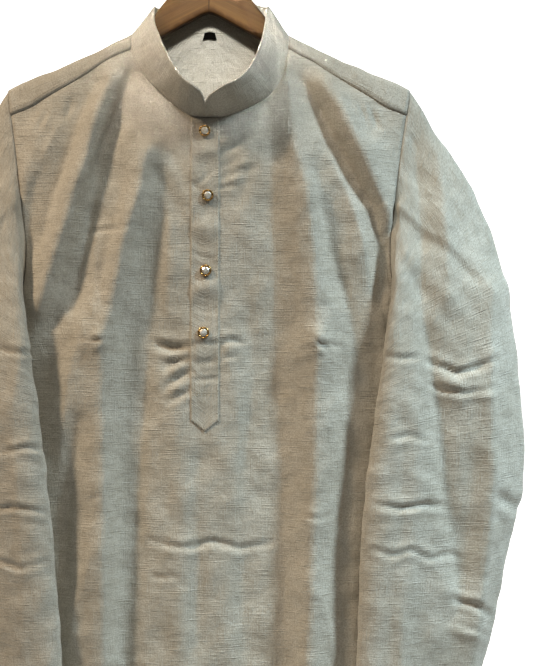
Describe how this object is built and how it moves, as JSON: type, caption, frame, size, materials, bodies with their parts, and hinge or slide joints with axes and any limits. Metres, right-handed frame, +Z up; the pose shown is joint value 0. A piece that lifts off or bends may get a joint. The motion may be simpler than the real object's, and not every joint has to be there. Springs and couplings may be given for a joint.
{
  "type": "kurta on a hanger",
  "caption": "Long cream kurta with a stand collar, pointed button placket and yoke, hanging closed on a flat wooden hanger with a wire hook.",
  "frame": {"origin": "on the inside top of the hanger's hook, where it lies on the rail", "axes": "+Z up, -Y out of the front of the kurta, +X towards the wearer's left, which is the right of the picture"},
  "size_m": [0.6868, 0.1226, 1.1697],
  "materials": {
    "cloth": "fine slub weave with a slight sheen",
    "label": "matt woven tape",
    "buttons": "polished rim, pearly centre",
    "hanger_wood": "clear satin varnish",
    "hook_wire": "polished wire"
  },
  "bodies": {
    "root": {"front": "cloth", "back": "cloth", "yoke": "cloth", "sleeve_left": "cloth", "sleeve_right": "cloth", "collar": "cloth", "placket": "cloth", "neck_label": "label", "button_1": "buttons", "button_2": "buttons", "button_3": "buttons", "button_4": "buttons", "hanger_board": "hanger_wood", "hanger_hook": "hook_wire"}
  },
  "joints": []
}
